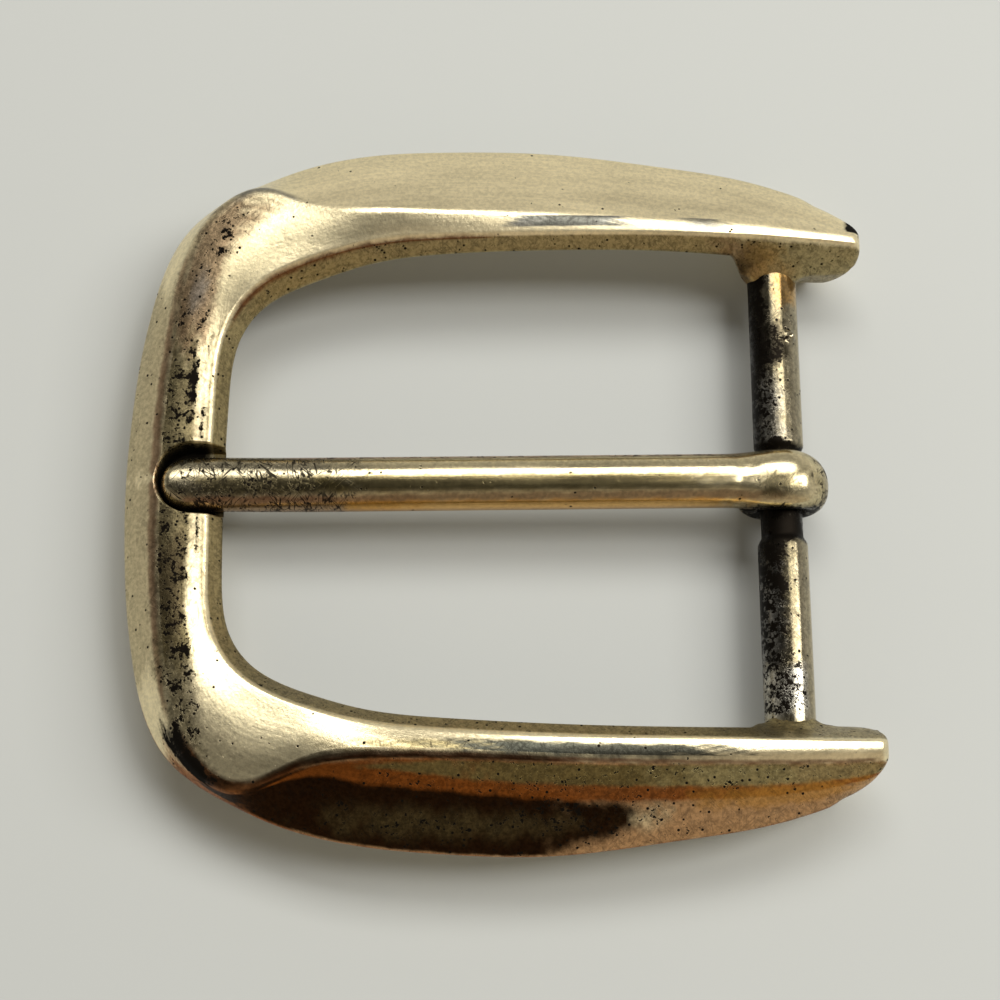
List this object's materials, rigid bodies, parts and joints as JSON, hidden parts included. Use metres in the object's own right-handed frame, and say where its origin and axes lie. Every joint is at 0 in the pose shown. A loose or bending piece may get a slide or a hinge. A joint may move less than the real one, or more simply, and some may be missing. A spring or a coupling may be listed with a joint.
{
  "type": "belt buckle",
  "caption": "Horseshoe-shaped cast belt buckle with a round cross bar between two lugs and a hinged prong resting in a notched front bar.",
  "frame": {"origin": "centre of the buckle's plan outline, in the plane of its back", "axes": "+X from the notched front bar towards the free tips of the arms, +Y along the cross bar, +Z out of the front face"},
  "size_m": [0.0533, 0.0526, 0.0089],
  "materials": {
    "gilt_casting": "worn satin gold-tone, dark wear and pits on the front bar and corners",
    "bar_steel": "worn and speckled with dark patina, brighter along the top",
    "gilt_prong": "worn polished gold-tone, scratched, greyer at the tip"
  },
  "bodies": {
    "frame_body": {"frame": "gilt_casting", "bar": "bar_steel"},
    "prong_body": {"prong": "gilt_prong"}
  },
  "joints": [
    {"name": "prong_hinge", "type": "hinge", "parent": "frame_body", "child": "prong_body", "pos_m": [0.0204, 0, 0.0035], "axis": [0, 1, 0], "range_deg": [0, 180]}
  ]
}
